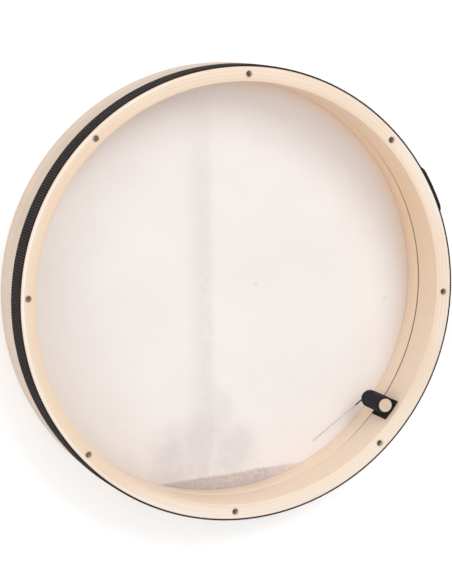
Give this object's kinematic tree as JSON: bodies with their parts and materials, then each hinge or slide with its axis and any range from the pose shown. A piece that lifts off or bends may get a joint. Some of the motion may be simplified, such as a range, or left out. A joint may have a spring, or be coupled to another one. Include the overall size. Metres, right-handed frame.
{
  "type": "bodhran",
  "caption": "Shallow round frame drum with a translucent skin head, a pale laminated wooden hoop, ribbed black edge tape, screw tuning from the open back and a removable wire snare.",
  "frame": {"origin": "centre of the head's outer face, which the drum rests on with its open back up", "axes": "+Z along the drum's axis, out of the open back; +Y through the first tuning screw"},
  "size_m": [0.4033, 0.4034, 0.0655],
  "materials": {
    "hoop_wood": "clear satin lacquer over pale plywood",
    "dowel_wood": "bare sanded",
    "goat_skin": "natural translucent hide",
    "black_tape": "ribbed woven tape",
    "hook_pad": "hook tape",
    "loop_fabric": "brushed loop pile",
    "black_rubber": "matt",
    "screw_steel": "zinc plated",
    "plate_steel": "plain",
    "wire_steel": "drawn",
    "insert_brass": "turned"
  },
  "bodies": {
    "head_and_ring": {"head_skin": "goat_skin", "tuning_ring": "hoop_wood", "thrust_plates": "plate_steel"},
    "frame": {"outer_hoop": "hoop_wood", "rear_ring": "hoop_wood", "skin_wrap": "goat_skin", "trim_band": "black_tape", "band_overlap": "black_tape", "threaded_inserts": "insert_brass", "snare_pad": "hook_pad"},
    "tuning_screw_1": {"tuning_screw_1": "screw_steel"},
    "tuning_screw_2": {"tuning_screw_2": "screw_steel"},
    "tuning_screw_3": {"tuning_screw_3": "screw_steel"},
    "tuning_screw_4": {"tuning_screw_4": "screw_steel"},
    "tuning_screw_5": {"tuning_screw_5": "screw_steel"},
    "tuning_screw_6": {"tuning_screw_6": "screw_steel"},
    "tuning_screw_7": {"tuning_screw_7": "screw_steel"},
    "tuning_screw_8": {"tuning_screw_8": "screw_steel"},
    "snare": {"snare_dowel": "dowel_wood", "snare_sleeve": "loop_fabric", "snare_wire": "wire_steel", "snare_wire_sheath": "black_rubber"}
  },
  "joints": [
    {"name": "tuning_slide", "type": "slide", "parent": "head_and_ring", "child": "frame", "axis": [0, 0, 1], "range_m": [-0.001, 0.0045], "deforming": ["skin_wrap"]},
    {"name": "tuning_screw_1_turn", "type": "hinge", "parent": "head_and_ring", "child": "tuning_screw_1", "pos_m": [0, 0.1935, 0.0235], "axis": [0, 0, 1], "range_deg": [-2026, 451]},
    {"name": "tuning_screw_2_turn", "type": "hinge", "parent": "head_and_ring", "child": "tuning_screw_2", "pos_m": [-0.13683, 0.13683, 0.0235], "axis": [0, 0, 1], "range_deg": [-2026, 451]},
    {"name": "tuning_screw_3_turn", "type": "hinge", "parent": "head_and_ring", "child": "tuning_screw_3", "pos_m": [-0.1935, 0, 0.0235], "axis": [0, 0, 1], "range_deg": [-2026, 451]},
    {"name": "tuning_screw_4_turn", "type": "hinge", "parent": "head_and_ring", "child": "tuning_screw_4", "pos_m": [-0.13683, -0.13683, 0.0235], "axis": [0, 0, 1], "range_deg": [-2026, 451]},
    {"name": "tuning_screw_5_turn", "type": "hinge", "parent": "head_and_ring", "child": "tuning_screw_5", "pos_m": [0, -0.1935, 0.0235], "axis": [0, 0, 1], "range_deg": [-2026, 451]},
    {"name": "tuning_screw_6_turn", "type": "hinge", "parent": "head_and_ring", "child": "tuning_screw_6", "pos_m": [0.13683, -0.13683, 0.0235], "axis": [0, 0, 1], "range_deg": [-2026, 451]},
    {"name": "tuning_screw_7_turn", "type": "hinge", "parent": "head_and_ring", "child": "tuning_screw_7", "pos_m": [0.1935, 0, 0.0235], "axis": [0, 0, 1], "range_deg": [-2026, 451]},
    {"name": "tuning_screw_8_turn", "type": "hinge", "parent": "head_and_ring", "child": "tuning_screw_8", "pos_m": [0.13683, 0.13683, 0.0235], "axis": [0, 0, 1], "range_deg": [-2026, 451]},
    {"name": "snare_lift", "type": "slide", "parent": "frame", "child": "snare", "axis": [0, 0, 1], "range_m": [0, 0.06]}
  ],
  "couplings": [
    {"joint": "tuning_screw_1_turn", "follows": "tuning_slide", "rad_per_m": -7854},
    {"joint": "tuning_screw_2_turn", "follows": "tuning_slide", "rad_per_m": -7854},
    {"joint": "tuning_screw_3_turn", "follows": "tuning_slide", "rad_per_m": -7854},
    {"joint": "tuning_screw_4_turn", "follows": "tuning_slide", "rad_per_m": -7854},
    {"joint": "tuning_screw_5_turn", "follows": "tuning_slide", "rad_per_m": -7854},
    {"joint": "tuning_screw_6_turn", "follows": "tuning_slide", "rad_per_m": -7854},
    {"joint": "tuning_screw_7_turn", "follows": "tuning_slide", "rad_per_m": -7854},
    {"joint": "tuning_screw_8_turn", "follows": "tuning_slide", "rad_per_m": -7854}
  ]
}
